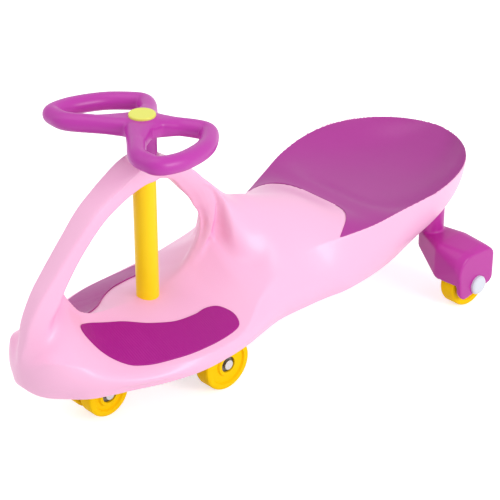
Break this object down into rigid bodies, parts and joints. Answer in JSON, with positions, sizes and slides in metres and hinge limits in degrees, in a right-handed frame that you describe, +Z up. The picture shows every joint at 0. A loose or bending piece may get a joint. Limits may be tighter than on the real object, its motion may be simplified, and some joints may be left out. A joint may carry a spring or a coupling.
{
  "type": "wiggle car",
  "caption": "Child's ride-on wiggle car: moulded body with a saddle seat and an arch that carries the steering column, wide hand loops and small wheels under a swinging front frame.",
  "frame": {"origin": "on the floor under the middle of the car's length and width", "axes": "+X forward, +Y to the rider's left, +Z up"},
  "size_m": [0.7535, 0.338, 0.385],
  "materials": {
    "pink_shell": "satin",
    "purple_gloss": "gloss",
    "white_nylon": "satin",
    "lime_cap": "gloss",
    "yellow_tube": "gloss",
    "amber_wheel": "gloss",
    "steel": "brushed"
  },
  "bodies": {
    "body": {"body_shell": "pink_shell", "seat_pad": "purple_gloss", "foot_pad_left": "purple_gloss", "foot_pad_right": "purple_gloss", "upper_bushing": "white_nylon", "lower_bushing": "white_nylon", "rear_bracket_left": "purple_gloss", "rear_bracket_right": "purple_gloss", "bracket_screws": "steel", "rear_axle_left": "steel", "rear_axle_right": "steel", "rear_axle_nuts": "steel", "rear_axle_spacers": "steel", "rear_hub_cap_left": "white_nylon", "rear_hub_cap_right": "white_nylon"},
    "steering": {"steering_wheel": "purple_gloss", "steering_cap": "lime_cap", "steering_column": "yellow_tube", "steering_shaft": "steel", "steering_nut": "steel", "frame_nut": "steel", "thrust_washer": "white_nylon", "swing_frame": "steel", "front_axle_left": "steel", "front_axle_right": "steel", "safety_axle": "steel", "axle_nuts": "steel", "axle_spacers": "steel"},
    "front_wheel_left": {"front_wheel_left": "amber_wheel", "front_bearings_left": "steel"},
    "front_wheel_right": {"front_wheel_right": "amber_wheel", "front_bearings_right": "steel"},
    "safety_wheel_left": {"safety_wheel_left": "amber_wheel", "safety_bearings_left": "steel"},
    "safety_wheel_right": {"safety_wheel_right": "amber_wheel", "safety_bearings_right": "steel"},
    "rear_wheel_left": {"rear_wheel_left": "amber_wheel", "rear_bearings_left": "steel"},
    "rear_wheel_right": {"rear_wheel_right": "amber_wheel", "rear_bearings_right": "steel"}
  },
  "joints": [
    {"name": "steering_turn", "type": "hinge", "parent": "body", "child": "steering", "pos_m": [0.172, 0, 0.2], "axis": [0, 0, 1], "continuous": true},
    {"name": "front_wheel_left_spin", "type": "hinge", "parent": "steering", "child": "front_wheel_left", "pos_m": [0.105, 0.063, 0.036], "axis": [0, 1, 0], "continuous": true},
    {"name": "front_wheel_right_spin", "type": "hinge", "parent": "steering", "child": "front_wheel_right", "pos_m": [0.105, -0.063, 0.036], "axis": [0, 1, 0], "continuous": true},
    {"name": "safety_wheel_left_spin", "type": "hinge", "parent": "steering", "child": "safety_wheel_left", "pos_m": [0.261, 0.016, 0.039], "axis": [0, 1, 0], "continuous": true},
    {"name": "safety_wheel_right_spin", "type": "hinge", "parent": "steering", "child": "safety_wheel_right", "pos_m": [0.261, -0.016, 0.039], "axis": [0, 1, 0], "continuous": true},
    {"name": "rear_wheel_left_spin", "type": "hinge", "parent": "body", "child": "rear_wheel_left", "pos_m": [-0.28, 0.139, 0.036], "axis": [0, 1, 0], "continuous": true},
    {"name": "rear_wheel_right_spin", "type": "hinge", "parent": "body", "child": "rear_wheel_right", "pos_m": [-0.28, -0.139, 0.036], "axis": [0, 1, 0], "continuous": true}
  ]
}
